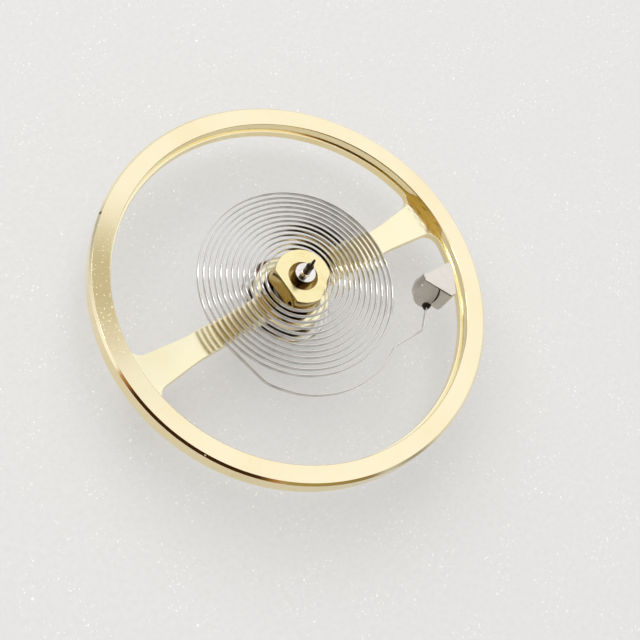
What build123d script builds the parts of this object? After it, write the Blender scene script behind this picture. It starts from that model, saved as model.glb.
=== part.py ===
from build123d import *
import math
import os

# A watch balance: two-arm wheel on its staff, with collet, hairspring, stud and double roller.
# Millimetres. The origin is the tip of the lower pivot, +Z runs up the staff, the arms lie along X.
# Angles are in degrees, anticlockwise from +X as seen from above.

# Wheel
wheel_diameter = 10.0
rim_width = 0.50
rim_height = 0.52
rim_edge_radius = 0.035
ledge_width = 0.055
web_thickness = 0.23
arm_count = 2
arm_width = 0.65
arm_half_flare_angle = 6.15
arm_bend_radius = 3.0
arm_corner_radius = 0.32
hub_diameter = 1.90
hub_corner_radius = 0.25

# Staff, from the lower pivot up
pivot_diameter = 0.10
pivot_length = 0.22
pivot_end_radius = 0.02
lower_cone_height = 0.20
lower_post_diameter = 0.30
lower_post_height = 0.15
roller_seat_diameter = 0.46
roller_seat_margin = 0.03
flange_diameter = 1.08
flange_thickness = 0.23
wheel_seat_diameter = 0.80
rivet_diameter = 0.96
rivet_height = 0.06
collet_shoulder_diameter = 0.66
collet_shoulder_height = 0.33
collet_seat_diameter = 0.512
collet_seat_height = 0.75
upper_post_diameter = 0.23
upper_post_height = 0.05
tip_post_diameter = 0.19
tip_post_height = 0.29
upper_cone_height = 0.115
staff_edge_break = 0.012

# Double roller
safety_roller_gap = 0.05
safety_roller_thickness = 0.18
safety_neck_diameter = 0.72
safety_neck_height = 0.20
crescent_diameter = 0.34
roller_table_thickness = 0.22
roller_edge_break = 0.03

# Impulse jewel, a half-round pin with its flat away from the staff
jewel_angle = 90
jewel_diameter = 0.42
jewel_flat_depth = 0.09
jewel_drop = 0.30
jewel_rim_distance = 0.10
jewel_cement_gap = 0.03
jewel_edge_break = 0.02
jewel_cement_margin = 0.06
jewel_cement_height = 0.07

# Collet with its two flats and the hole for the inner end of the spring
collet_diameter = 1.40
collet_height = 0.56
collet_edge_break = 0.02
collet_recess_diameter = 0.72
collet_recess_depth = 0.24
plain_flat_angle = 180
plain_flat_distance = 0.53
exit_flat_angle = 306
exit_flat_distance = 0.59
spring_hole_height = 0.185
spring_hole_diameter = 0.17
collet_pin_overhang = 0.04
collet_pin_setback = 0.05

# Hairspring strip and its turns, wider apart on the open side than on the tight side opposite
strip_thickness = 0.035
strip_height = 0.13
turn_count = 13
open_side_angle = 230
open_side_start = 0.590
open_side_pitch = 0.151
tight_side_start = 0.777
tight_side_pitch = 0.126

# Inner end of the hairspring: an elbow, then a straight tail through the collet
inner_turn_start_angle = 300
inner_elbow_angle = 45
inner_elbow_radius = 0.20
inner_tail_length = 0.55

# Outer end of the hairspring: a long curve about its own centre, then two bends to the stud
outer_curve_gap = 0.347
outer_curve_centre_distance = 0.42
outer_curve_centre_angle = 254
outer_curve_start_angle = 213
outer_curve_end_angle = 298.5
outer_curve_bend_radius = 0.60
outer_step_radius = 0.25
outer_hook_radius = 0.20
outer_run_length = 1.04
stud_entry_angle = 75.3
stud_entry_offset = 0.065

# Stud, a three-sided bar with its corners cut off, one of them facing the staff
stud_curve_gap = 0.557
stud_angle = 327.3
stud_side_distance = 0.30
stud_corner_distance = 0.475
stud_edge_radius = 0.035
stud_height = 0.90
stud_below_spring = 0.125
stud_edge_break = 0.02
stud_hole_diameter = 0.17
stud_hole_depth = 0.12

# Conical pad on the side of the stud that the spring comes to, flush at the top
pad_foot_radius = 0.33
pad_distance = 0.145
pad_shift = 0.10
pad_top_setback = 0.01

# Cement that holds the spring in the stud
bead_radius = 0.105
bead_distance = 0.455

# Small fits shared by several pieces
spring_fit_clearance = 0.01

# Points measured along each bend
points_per_bend = 24

# Heights up the staff
z_roller_seat = pivot_length + lower_cone_height + lower_post_height
z_safety_roller = z_roller_seat + roller_seat_margin
z_safety_neck = z_safety_roller + safety_roller_thickness
z_roller_table = z_safety_neck + safety_neck_height
z_flange = z_roller_table + roller_table_thickness
z_wheel = z_flange + flange_thickness
z_web_top = z_wheel + web_thickness
z_rivet_top = z_web_top + rivet_height
z_collet = z_web_top + collet_shoulder_height
z_collet_top = z_collet + collet_height
z_collet_seat_top = z_collet + collet_seat_height
z_upper_post_top = z_collet_seat_top + upper_post_height
z_tip_post_top = z_upper_post_top + tip_post_height
z_upper_pivot = z_tip_post_top + upper_cone_height
z_staff_top = z_upper_pivot + pivot_length
z_spring = z_collet + spring_hole_height
z_stud = z_spring - stud_below_spring

# Radii and distances from the staff, worked out from the sizes above
wheel_radius = wheel_diameter / 2
rim_inner_radius = wheel_radius - rim_width
window_radius = rim_inner_radius - ledge_width
jewel_radius = jewel_diameter / 2
jewel_cement_radius = jewel_radius + jewel_cement_margin
jewel_distance = flange_diameter / 2 + jewel_cement_gap + jewel_cement_radius
roller_table_radius = jewel_distance + jewel_radius + jewel_rim_distance
safety_roller_radius = jewel_distance - jewel_radius - safety_roller_gap
outer_curve_reach = open_side_start + open_side_pitch * turn_count + outer_curve_gap
outer_curve_radius = outer_curve_reach - outer_curve_centre_distance
stud_distance = outer_curve_reach + stud_curve_gap


def on_circle(radius, angle, height=0):
    """Point at a radius and an angle about the staff."""
    turn = math.radians(angle)
    return Vector(radius * math.cos(turn), radius * math.sin(turn), height)


def facing_plane(point, angle):
    """Upright plane through a point, facing along the angle."""
    return Plane(origin=point, x_dir=on_circle(1, angle - 90), z_dir=on_circle(1, angle))


def next_angle(angle, start):
    """The same direction, counted as the first one at or after the start angle."""
    return start + (angle - start) % 360


def tangent_angle(first_centre, first_radius, second_centre, second_radius):
    """Angle of the common normal of two bends joined by a straight run.

    A bend to the left has a positive radius and a bend to the right a negative one. Each bend
    meets the run at its centre plus its radius times the unit normal.
    """
    across = second_centre - first_centre
    spread = math.acos((first_radius - second_radius) / across.length)
    return math.degrees(math.atan2(across.Y, across.X) - spread)


# Balance wheel: rim, ledge, arms and hub cut from one blank
arm_flare = math.tan(math.radians(arm_half_flare_angle))
arm_bend_distance = arm_width / 2 / arm_flare
arm_outline = [
    (0, arm_width / 2),
    (arm_bend_distance, arm_width / 2),
    (wheel_radius, wheel_radius * arm_flare),
    (wheel_radius, -wheel_radius * arm_flare),
    (arm_bend_distance, -arm_width / 2),
    (0, -arm_width / 2),
]

with BuildPart() as balance_wheel:
    with BuildSketch(Plane.XY.offset(z_wheel)):
        Circle(wheel_radius)
        Circle(wheel_seat_diameter / 2, mode=Mode.SUBTRACT)
    extrude(amount=rim_height)
    with BuildSketch(Plane.XY.offset(z_web_top)):
        Circle(rim_inner_radius)
    extrude(amount=rim_height, mode=Mode.SUBTRACT)
    with BuildSketch(Plane.XY.offset(z_wheel)) as windows:
        Circle(window_radius)
        with PolarLocations(0, arm_count):
            Polygon(*arm_outline, align=None, mode=Mode.SUBTRACT)
        Circle(hub_diameter / 2, mode=Mode.SUBTRACT)
        fillet(windows.vertices().group_by(SortBy.DISTANCE)[1], radius=arm_bend_radius)
        fillet(windows.vertices().group_by(SortBy.DISTANCE)[0], radius=hub_corner_radius)
        fillet(windows.vertices().group_by(SortBy.DISTANCE)[-1], radius=arm_corner_radius)
    extrude(amount=web_thickness, mode=Mode.SUBTRACT)
    rim_edges = balance_wheel.edges().filter_by(GeomType.CIRCLE).filter_by(
        lambda edge: edge.radius > (window_radius + rim_inner_radius) / 2
        and abs(edge.center().Z - z_web_top) > rim_edge_radius
    )
    fillet(rim_edges, radius=rim_edge_radius)
balance_wheel.part.label = "balance_wheel"

# Balance staff, turned in one piece from pivot to pivot
staff_outline = [
    (0, 0),
    (pivot_diameter / 2, 0),
    (pivot_diameter / 2, pivot_length),
    (lower_post_diameter / 2, pivot_length + lower_cone_height),
    (lower_post_diameter / 2, z_roller_seat),
    (roller_seat_diameter / 2, z_roller_seat),
    (roller_seat_diameter / 2, z_flange),
    (flange_diameter / 2, z_flange),
    (flange_diameter / 2, z_wheel),
    (wheel_seat_diameter / 2, z_wheel),
    (wheel_seat_diameter / 2, z_web_top),
    (rivet_diameter / 2, z_web_top),
    (rivet_diameter / 2 - rivet_height, z_rivet_top),
    (collet_shoulder_diameter / 2, z_rivet_top),
    (collet_shoulder_diameter / 2, z_collet),
    (collet_seat_diameter / 2, z_collet),
    (collet_seat_diameter / 2, z_collet_seat_top),
    (upper_post_diameter / 2, z_collet_seat_top),
    (upper_post_diameter / 2, z_upper_post_top - (upper_post_diameter - tip_post_diameter) / 2),
    (tip_post_diameter / 2, z_upper_post_top),
    (tip_post_diameter / 2, z_tip_post_top),
    (pivot_diameter / 2, z_upper_pivot),
    (pivot_diameter / 2, z_staff_top),
    (0, z_staff_top),
]

with BuildPart() as balance_staff:
    with BuildSketch(Plane.XZ):
        with BuildLine():
            Polyline(*staff_outline, close=True)
        make_face()
    revolve(axis=Axis.Z)
    fillet(balance_staff.edges().sort_by(Axis.Z)[0], radius=pivot_end_radius)
    fillet(balance_staff.edges().sort_by(Axis.Z)[-1], radius=pivot_end_radius)
    shoulder_edges = balance_staff.edges().filter_by(GeomType.CIRCLE).filter_by(
        lambda edge: abs(edge.center().Z - z_collet_seat_top) < staff_edge_break
        and edge.radius > upper_post_diameter / 2 + staff_edge_break
    )
    chamfer(shoulder_edges, length=staff_edge_break)
balance_staff.part.label = "balance_staff"

# Safety roller with its neck and the crescent under the jewel
with BuildPart() as safety_roller:
    with BuildSketch(Plane.XY.offset(z_safety_roller)):
        Circle(safety_roller_radius)
        with Locations(on_circle(safety_roller_radius, jewel_angle)):
            Circle(crescent_diameter / 2, mode=Mode.SUBTRACT)
        Circle(roller_seat_diameter / 2, mode=Mode.SUBTRACT)
    extrude(amount=safety_roller_thickness)
    with BuildSketch(Plane.XY.offset(z_safety_neck)):
        Circle(safety_neck_diameter / 2)
        Circle(roller_seat_diameter / 2, mode=Mode.SUBTRACT)
    extrude(amount=safety_neck_height)
safety_roller.part.label = "safety_roller"

# Outline of the impulse jewel, shared with its hole in the roller table
with BuildSketch(Plane.XY.offset(z_roller_table)) as jewel_outline:
    with Locations(on_circle(jewel_distance, jewel_angle)):
        Circle(jewel_radius)
    flat_centre = jewel_distance + jewel_radius - jewel_flat_depth + jewel_diameter / 2
    with Locations(Location(on_circle(flat_centre, jewel_angle), jewel_angle)):
        Rectangle(jewel_diameter, 2 * jewel_diameter, mode=Mode.SUBTRACT)

# Roller table
with BuildPart() as roller_table:
    with BuildSketch(Plane.XY.offset(z_roller_table)):
        Circle(roller_table_radius)
        Circle(roller_seat_diameter / 2, mode=Mode.SUBTRACT)
        add(jewel_outline.sketch, mode=Mode.SUBTRACT)
    extrude(amount=roller_table_thickness)
    table_edges = roller_table.edges().filter_by(GeomType.CIRCLE).group_by(SortBy.RADIUS)[-1]
    chamfer(table_edges, length=roller_edge_break)
roller_table.part.label = "roller_table"

# Impulse jewel
with BuildPart() as impulse_jewel:
    add(jewel_outline.sketch)
    extrude(amount=roller_table_thickness)
    extrude(to_extrude=jewel_outline.sketch, amount=-jewel_drop)
    chamfer(impulse_jewel.faces().sort_by(Axis.Z)[0].edges(), length=jewel_edge_break)
impulse_jewel.part.label = "impulse_jewel"

# Shellac over the jewel, on the back of the roller table
with BuildPart() as jewel_cement:
    with BuildSketch(Plane.XY.offset(z_flange)):
        with Locations(on_circle(jewel_distance, jewel_angle)):
            Circle(jewel_cement_radius)
    extrude(amount=jewel_cement_height)
    fillet(jewel_cement.edges().sort_by(Axis.Z)[-1], radius=jewel_cement_height / 2)
jewel_cement.part.label = "jewel_cement"

# Hairspring route: a list of bends, each with its centre, radius, first and last normal angles
bends = []
for turn in range(turn_count):
    inner_open = open_side_start + open_side_pitch * turn
    outer_open = inner_open + open_side_pitch
    tight = tight_side_start + tight_side_pitch * (turn + 1)
    open_angle = open_side_angle + 360 * turn
    for open_side, first_angle in ((inner_open, open_angle), (outer_open, open_angle + 180)):
        centre = on_circle((open_side - tight) / 2, open_side_angle)
        bends.append([centre, (open_side + tight) / 2, first_angle, first_angle + 180])

first_centre, first_radius = bends[0][:2]
bends[0][2] = inner_turn_start_angle
elbow_centre = first_centre + on_circle(first_radius - inner_elbow_radius, inner_turn_start_angle)
elbow_angle = inner_turn_start_angle - inner_elbow_angle
bends.insert(0, [elbow_centre, inner_elbow_radius, elbow_angle, inner_turn_start_angle])
tail_end = elbow_centre + on_circle(inner_elbow_radius, elbow_angle)
tail_start = tail_end - on_circle(inner_tail_length, elbow_angle + 90)

curve_centre = on_circle(outer_curve_centre_distance, outer_curve_centre_angle)
joining_radius = outer_curve_radius - outer_curve_bend_radius
joining_centre = curve_centre + on_circle(joining_radius, outer_curve_start_angle)
step_centre = curve_centre + on_circle(outer_curve_radius + outer_step_radius, outer_curve_end_angle)
stud_centre = on_circle(stud_distance, stud_angle)
run_angle = stud_angle + stud_entry_angle
spring_end = stud_centre + on_circle(stud_entry_offset, run_angle + 90)
last_run_start = spring_end - on_circle(outer_run_length, run_angle)
hook_centre = last_run_start - on_circle(outer_hook_radius, run_angle - 90)

last_centre, last_radius, last_start = bends[-1][:3]
leave_angle = next_angle(
    tangent_angle(last_centre, last_radius, joining_centre, outer_curve_bend_radius), last_start
)
curve_start = next_angle(outer_curve_start_angle, leave_angle)
curve_end = next_angle(outer_curve_end_angle, curve_start)
step_angle = tangent_angle(step_centre, -outer_step_radius, hook_centre, outer_hook_radius)
step_end = next_angle(step_angle, curve_end - 180)
hook_end = next_angle(run_angle - 90, step_end)
bends[-1][3] = leave_angle
bends.append([joining_centre, outer_curve_bend_radius, leave_angle, curve_start])
bends.append([curve_centre, outer_curve_radius, curve_start, curve_end])
bends.append([step_centre, -outer_step_radius, curve_end, step_end])
bends.append([hook_centre, outer_hook_radius, step_end, hook_end])


def bend_point(bend, angle):
    """Point of a bend where its normal has the angle."""
    return bend[0] + on_circle(bend[1], angle)


tail_angle = elbow_angle + 90
straight_runs = [
    (tail_start, tail_end),
    (bend_point(bends[-5], leave_angle), bend_point(bends[-4], leave_angle)),
    (bend_point(bends[-2], step_end), bend_point(bends[-1], step_end)),
    (last_run_start, spring_end),
]

# Hairspring: one strip swept along the route
with BuildPart() as hairspring:
    with BuildLine(Plane.XY.offset(z_spring)) as spring_route:
        for centre, radius, start_angle, end_angle in bends:
            if radius < 0:
                start_angle, end_angle = start_angle + 180, end_angle + 180
            CenterArc(centre, abs(radius), start_angle, end_angle - start_angle)
        for run_start, run_end in straight_runs:
            Line(run_start, run_end)
    with BuildSketch(facing_plane(tail_start + Vector(0, 0, z_spring), tail_angle)):
        Rectangle(strip_thickness, strip_height)
    sweep(path=spring_route.wires()[0])
hairspring.part.label = "hairspring"
print("hairspring length", spring_route.wires()[0].length)
print("hairspring volume over its section", hairspring.part.volume / strip_thickness / strip_height)

# Least gap between neighbouring turns, measured on points of the route
route_points = []
for bend in bends:
    for step in range(points_per_bend):
        angle = bend[2] + (bend[3] - bend[2]) * step / points_per_bend
        route_points.append((angle, bend_point(bend, angle)))
least_gap = wheel_diameter
for angle, point in route_points:
    for other_angle, other_point in route_points:
        if 180 < other_angle - angle < 540:
            least_gap = min(least_gap, (other_point - point).length - strip_thickness)
print("least gap between turns", least_gap)

# Collet: disc with a recess round the staff, two flats and the hole for the spring
tail_plane = facing_plane(tail_end + Vector(0, 0, z_spring), tail_angle)

with BuildPart() as collet:
    with BuildSketch(Plane.XY.offset(z_collet)):
        Circle(collet_diameter / 2)
        Circle(collet_seat_diameter / 2, mode=Mode.SUBTRACT)
        for distance, angle in (
            (plain_flat_distance, plain_flat_angle),
            (exit_flat_distance, exit_flat_angle),
        ):
            flat_place = Location(on_circle(distance + collet_diameter / 2, angle), angle)
            with Locations(flat_place):
                Rectangle(collet_diameter, 2 * collet_diameter, mode=Mode.SUBTRACT)
    extrude(amount=collet_height)
    with BuildSketch(Plane.XY.offset(z_collet_top)):
        Circle(collet_recess_diameter / 2)
    extrude(amount=-collet_recess_depth, mode=Mode.SUBTRACT)
    chamfer(collet.faces().sort_by(Axis.Z)[-1].edges(), length=collet_edge_break)
    with BuildSketch(tail_plane):
        Circle(spring_hole_diameter / 2)
    extrude(amount=2 * collet_diameter, both=True, mode=Mode.SUBTRACT)
collet.part.label = "collet"


def reach_flat(point, heading, distance, angle):
    """How far a line runs from a point before it meets a flat at a distance from the staff."""
    facing = on_circle(1, angle)
    return (distance - point.dot(facing)) / on_circle(1, heading).dot(facing)


# Collet pin: half-round wedge on the staff side of the strip, with its tip past the plain flat
pin_tip = reach_flat(tail_end, tail_angle, plain_flat_distance, plain_flat_angle) - collet_pin_overhang
pin_foot = reach_flat(tail_end, tail_angle, exit_flat_distance, exit_flat_angle) - collet_pin_setback
pin_start = tail_end + on_circle(pin_tip, tail_angle, z_spring)
pin_face = -strip_thickness / 2 - spring_fit_clearance

with BuildPart() as collet_pin:
    with BuildSketch(facing_plane(pin_start, tail_angle)):
        Circle(spring_hole_diameter / 2)
        with Locations((pin_face + spring_hole_diameter / 2, 0)):
            Rectangle(spring_hole_diameter, 2 * spring_hole_diameter, mode=Mode.SUBTRACT)
    extrude(amount=pin_foot - pin_tip)
collet_pin.part.label = "collet_pin"

# Pad of the stud: the front half of a cone, proud of the side at the foot and inside it at the top
spring_side_angle = stud_angle + 180 + 60
pad_centre = (
    stud_centre
    + on_circle(pad_distance, spring_side_angle, z_stud)
    + on_circle(pad_shift, spring_side_angle - 90)
)
pad_top_radius = stud_side_distance - pad_distance - pad_top_setback

with BuildPart() as stud_pad:
    with Locations(pad_centre):
        Cone(pad_foot_radius, pad_top_radius, stud_height, align=(Align.CENTER, Align.CENTER, Align.MIN))
    split(bisect_by=Plane(origin=pad_centre, z_dir=on_circle(1, spring_side_angle)))

# Stud with its pad and the hole for the outer end of the spring
stud_plane = Plane(origin=stud_centre + Vector(0, 0, z_stud), x_dir=on_circle(1, stud_angle + 180))
hole_bottom = spring_end + on_circle(stud_hole_depth, run_angle, z_spring)

with BuildPart() as hairspring_stud:
    with BuildSketch(stud_plane) as stud_outline:
        RegularPolygon(stud_side_distance, 3, major_radius=False)
        RegularPolygon(stud_corner_distance, 3, major_radius=False, rotation=60, mode=Mode.INTERSECT)
        fillet(stud_outline.vertices(), radius=stud_edge_radius)
    extrude(amount=stud_height)
    chamfer(hairspring_stud.faces().sort_by(Axis.Z)[-1].edges(), length=stud_edge_break)
    chamfer(hairspring_stud.faces().sort_by(Axis.Z)[0].edges(), length=stud_edge_break)
    add(stud_pad.part)
    with BuildSketch(facing_plane(hole_bottom, run_angle)):
        Circle(stud_hole_diameter / 2)
    extrude(amount=-2 * stud_corner_distance, mode=Mode.SUBTRACT)
hairspring_stud.part.label = "hairspring_stud"

# Cement: a plug round the strip in the stud's hole, with a bead at its mouth
bead_centre = spring_end - on_circle(bead_distance, run_angle) + Vector(0, 0, z_spring)
bead_place = facing_plane(bead_centre, run_angle).location

with BuildPart() as stud_cement:
    with BuildSketch(facing_plane(hole_bottom, run_angle)):
        Circle(stud_hole_diameter / 2 - spring_fit_clearance)
    extrude(amount=-stud_hole_depth - bead_distance)
    with Locations(bead_place):
        Sphere(bead_radius)
    add(hairspring_stud.part, mode=Mode.SUBTRACT)
    with BuildSketch(facing_plane(last_run_start + Vector(0, 0, z_spring), run_angle)):
        Rectangle(strip_thickness, strip_height)
    extrude(amount=outer_run_length, mode=Mode.SUBTRACT)
stud_cement.part.label = "stud_cement"

os.makedirs("parts", exist_ok=True)
for piece in (
    balance_wheel,
    balance_staff,
    roller_table,
    safety_roller,
    impulse_jewel,
    jewel_cement,
    collet,
    collet_pin,
    hairspring,
    hairspring_stud,
    stud_cement,
):
    export_step(piece.part, f"parts/{piece.part.label}.step")
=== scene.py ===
import math

import bmesh
import bpy
import numpy as np
from mathutils import Matrix, Vector


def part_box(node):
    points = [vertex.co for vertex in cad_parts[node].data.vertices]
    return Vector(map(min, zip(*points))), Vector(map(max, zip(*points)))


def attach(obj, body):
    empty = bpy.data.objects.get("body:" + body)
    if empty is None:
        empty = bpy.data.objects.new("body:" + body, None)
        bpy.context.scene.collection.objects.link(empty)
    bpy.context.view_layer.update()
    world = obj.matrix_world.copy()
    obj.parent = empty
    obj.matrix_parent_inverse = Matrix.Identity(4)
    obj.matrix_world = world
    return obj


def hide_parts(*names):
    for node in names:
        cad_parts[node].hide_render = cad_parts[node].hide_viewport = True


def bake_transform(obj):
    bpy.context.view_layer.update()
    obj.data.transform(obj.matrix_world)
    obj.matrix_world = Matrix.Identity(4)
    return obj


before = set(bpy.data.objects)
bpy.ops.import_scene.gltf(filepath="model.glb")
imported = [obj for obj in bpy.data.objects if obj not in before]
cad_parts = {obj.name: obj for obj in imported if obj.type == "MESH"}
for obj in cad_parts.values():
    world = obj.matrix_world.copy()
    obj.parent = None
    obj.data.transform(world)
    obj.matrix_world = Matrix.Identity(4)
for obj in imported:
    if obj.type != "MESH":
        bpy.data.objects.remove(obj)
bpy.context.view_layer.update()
print("frame loaded:", len(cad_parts), "pieces")

# Watch balance with its spring and stud. Meshes are drawn in millimetres and brought to metres at the end.
# Origin at the tip of the lower pivot, Z up the staff, arms along X, angles anticlockwise from X.
millimetre = 0.001
mergeDistance = 1e-5
origin = np.zeros(3)
upwards = np.array([0.0, 0.0, 1.0])
overrun = 0.1  # how far a cutting tool reaches past what it cuts
edgeRoundness = 0.3  # middle of a broken edge: 0 at the sharp corner, 0.5 on a flat chamfer
scene = bpy.context.scene


# Points and outlines
def onCircle(radius, angle, height=0.0):
    turn = math.radians(angle)
    return np.array([radius * math.cos(turn), radius * math.sin(turn), height])


def arcPoints(centre, radius, first, last, steps):
    return [centre + onCircle(radius, first + (last - first) * step / steps) for step in range(steps + 1)]


def circle(radius, height, steps):
    return [onCircle(radius, 360 * step / steps, height) for step in range(steps)]


def lift(outline, height):  # the same outline at another height
    return [np.array([point[0], point[1], height]) for point in outline]


def withoutDoubles(points):
    kept = [points[0]]
    for point in points[1:]:
        if np.linalg.norm(point - kept[-1]) > mergeDistance:
            kept.append(point)
    return kept


def brokenEdge(face, size):  # offset and height of three levels, from the wall to the face
    middle = size * edgeRoundness
    return [(0.0, face - size), (abs(middle), face - middle), (abs(size), face)]


def roundedProfile(corners, steps=4):  # corners are (radius, height, rounding), joined by straight lines
    places = [np.array([x, 0.0, z]) for x, z, rounding in corners]
    points = []
    for index, here in enumerate(places):
        rounding = corners[index][2]
        if rounding == 0 or index in (0, len(places) - 1):
            points.append(here)
            continue
        before, after = places[index - 1] - here, places[index + 1] - here
        before /= np.linalg.norm(before)
        after /= np.linalg.norm(after)
        half = math.acos(max(-1.0, min(1.0, float(before @ after)))) / 2
        reach = rounding / math.tan(half)
        middle = (before + after) / np.linalg.norm(before + after)
        centre = here + middle * rounding / math.sin(half)
        start, end = here + before * reach - centre, here + after * reach - centre
        spread = math.acos(max(-1.0, min(1.0, float(start @ end) / rounding ** 2)))
        for step in range(steps + 1):
            share = step / steps
            ray = math.sin((1 - share) * spread) * start + math.sin(share * spread) * end
            points.append(centre + ray / math.sin(spread))
    return points


# Meshes
def newPiece(name, points, faces, edges=()):
    mesh = bpy.data.meshes.new(name)
    mesh.from_pydata([tuple(point) for point in points], list(edges), faces)
    piece = bpy.data.objects.new(name, mesh)
    scene.collection.objects.link(piece)
    return piece


def newLine(name, points):
    return newPiece(name, points, [], [(index, index + 1) for index in range(len(points) - 1)])


def loft(name, rings, joinEnds=False):  # closed rings of equal count, skinned in order
    count = len(rings[0])
    faces = []
    for low in range(len(rings) if joinEnds else len(rings) - 1):
        high = (low + 1) % len(rings)
        for index in range(count):
            after = (index + 1) % count
            corners = (low, index), (low, after), (high, after), (high, index)
            faces.append([ring * count + place for ring, place in corners])
    if not joinEnds:
        faces.append(tuple(reversed(range(count))))
        faces.append(tuple((len(rings) - 1) * count + index for index in range(count)))
    return newPiece(name, [point for ring in rings for point in ring], faces)


def rod(name, radius, low, high, steps, centre=origin):
    return loft(name, [[centre + point for point in circle(radius, height, steps)] for height in (low, high)])


def mend(piece):  # merges doubles and turns every face outwards
    shape = bmesh.new()
    shape.from_mesh(piece.data)
    bmesh.ops.remove_doubles(shape, verts=shape.verts, dist=mergeDistance)
    bmesh.ops.recalc_face_normals(shape, faces=shape.faces)
    shape.to_mesh(piece.data)
    shape.free()


def applyModifiers(piece):
    bpy.context.view_layer.update()
    graph = bpy.context.evaluated_depsgraph_get()
    final = piece.evaluated_get(graph)
    mesh = bpy.data.meshes.new_from_object(final, preserve_all_data_layers=True, depsgraph=graph)
    piece.modifiers.clear()
    piece.data = mesh


def combine(piece, tool, operation):
    mend(tool)
    cut = piece.modifiers.new("cut", "BOOLEAN")
    cut.operation = operation
    cut.solver = "EXACT"
    cut.object = tool
    applyModifiers(piece)
    bpy.data.objects.remove(tool)


def markFaces(piece, name, value):  # one number for each face, for the finishes
    mark = piece.data.attributes.new(name, "FLOAT", "FACE")
    mark.data.foreach_set("value", [float(value(face)) for face in piece.data.polygons])


def dress(piece, finish, body, nodes, sharpAngle=32.0):
    mesh = piece.data
    markFaces(piece, "facesUp", lambda face: face.normal.z)
    mesh.shade_smooth()
    mesh.set_sharp_from_angle(angle=math.radians(sharpAngle))
    even = piece.modifiers.new("evenNormals", "WEIGHTED_NORMAL")
    even.keep_sharp = True
    applyModifiers(piece)
    piece.data.transform(Matrix.Scale(millimetre, 4))
    piece.data.materials.clear()
    piece.data.materials.append(finish)
    if body:
        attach(piece, body)
    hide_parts(*nodes)


# Node trees: one wrapped socket with arithmetic, and one method for every other node
def maths(operation, reflected=False):  # an operator that adds a Math node
    def operator(self, other):
        first, second = (other, self) if reflected else (self, other)
        return self.board.node("ShaderNodeMath", {0: first, 1: second}, operation=operation)

    return operator


class Wire:
    def __init__(self, board, socket):
        self.board = board
        self.socket = socket

    __add__ = maths("ADD")
    __radd__ = maths("ADD", reflected=True)
    __sub__ = maths("SUBTRACT")
    __rsub__ = maths("SUBTRACT", reflected=True)
    __mul__ = maths("MULTIPLY")
    __rmul__ = maths("MULTIPLY", reflected=True)
    __truediv__ = maths("DIVIDE")
    __rtruediv__ = maths("DIVIDE", reflected=True)
    __mod__ = maths("MODULO")
    __pow__ = maths("POWER")
    angleTo = maths("ARCTAN2", reflected=True)  # angle of the point (self, other), in radians


class Board:
    def __init__(self, tree):
        self.tree = tree

    def node(self, kind, sockets=None, out=0, **settings):
        made = self.tree.nodes.new(kind)
        for key, value in settings.items():
            setattr(made, key, value)
        for key, value in (sockets or {}).items():
            if isinstance(value, Wire):
                self.tree.links.new(value.socket, made.inputs[key])
            else:
                made.inputs[key].default_value = value
        return Wire(self, made.outputs[out]) if len(made.outputs) else None

    def allOutputs(self, kind, sockets=None):
        return [Wire(self, output) for output in self.node(kind, sockets).socket.node.outputs]

    def mix(self, low, high, share):  # each colour a wire, or its red, green and blue
        low, high = [colour if isinstance(colour, Wire) else (*colour, 1.0) for colour in (low, high)]
        return self.node("ShaderNodeMix", {0: share, 6: low, 7: high}, out=2, data_type="RGBA")

    def ramp(self, value, low, high):  # 0 at low, 1 at high, smooth between
        sockets = {"Value": value, "From Min": low, "From Max": high}
        return self.node("ShaderNodeMapRange", sockets, interpolation_type="SMOOTHSTEP")

    def seen(self):  # 1 for rays from the camera and for what metal and glass show of it, else 0
        rays = self.node("ShaderNodeLightPath").socket.node.outputs
        kinds = ("Is Camera Ray", "Is Glossy Ray", "Is Transmission Ray")
        return self.node("ShaderNodeClamp", {0: sum(Wire(self, rays[kind]) for kind in kinds)})


class Finish(Board):
    def __init__(self, name):
        self.material = bpy.data.materials.new(name)
        self.material.use_nodes = True
        super().__init__(self.material.node_tree)
        self.tree.nodes.clear()
        self.place = self.node("ShaderNodeTexCoord", out=3)

    def mark(self, name):
        return self.node("ShaderNodeAttribute", out=2, attribute_name=name)

    def axes(self):  # x, y, z and the distance from the staff's axis
        x, y, z = self.allOutputs("ShaderNodeSeparateXYZ", {0: self.place})
        return x, y, z, (x * x + y * y) ** 0.5

    def away(self, spot):  # distance from a place given as radius, angle and height
        sockets = {0: self.place, 1: tuple(onCircle(*spot))}
        return self.node("ShaderNodeVectorMath", sockets, out=1, operation="DISTANCE")

    def noise(self, scale, detail, roughness, place=None):
        sockets = {"Vector": place or self.place, "Scale": scale, "Detail": detail, "Roughness": roughness}
        return self.node("ShaderNodeTexNoise", sockets)

    def lineNoise(self, value, scale, detail):
        sockets = {"W": value, "Scale": scale, "Detail": detail}
        return self.node("ShaderNodeTexNoise", sockets, noise_dimensions="1D")

    def bump(self, height, strength, distance, under=None):
        sockets = {"Strength": strength, "Distance": distance, "Height": height}
        if under:
            sockets["Normal"] = under
        return self.node("ShaderNodeBump", sockets)

    def surface(self, sockets):
        shader = self.node("ShaderNodeBsdfPrincipled", sockets)
        self.node("ShaderNodeOutputMaterial", {"Surface": shader})
        return self.material

    def metal(self, colour, roughness, normal):
        return self.surface({"Base Color": colour, "Metallic": 1.0, "Roughness": roughness, "Normal": normal})


def startTree(name, inputs):  # gives the board and a wire for each named input
    tree = bpy.data.node_groups.new(name, "GeometryNodeTree")
    for label, kind in inputs.items():
        tree.interface.new_socket(label, in_out="INPUT", socket_type="NodeSocket" + kind)
    tree.interface.new_socket("Geometry", in_out="OUTPUT", socket_type="NodeSocketGeometry")
    board = Board(tree)
    return board, board.allOutputs("NodeGroupInput")[:len(inputs)]


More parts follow.
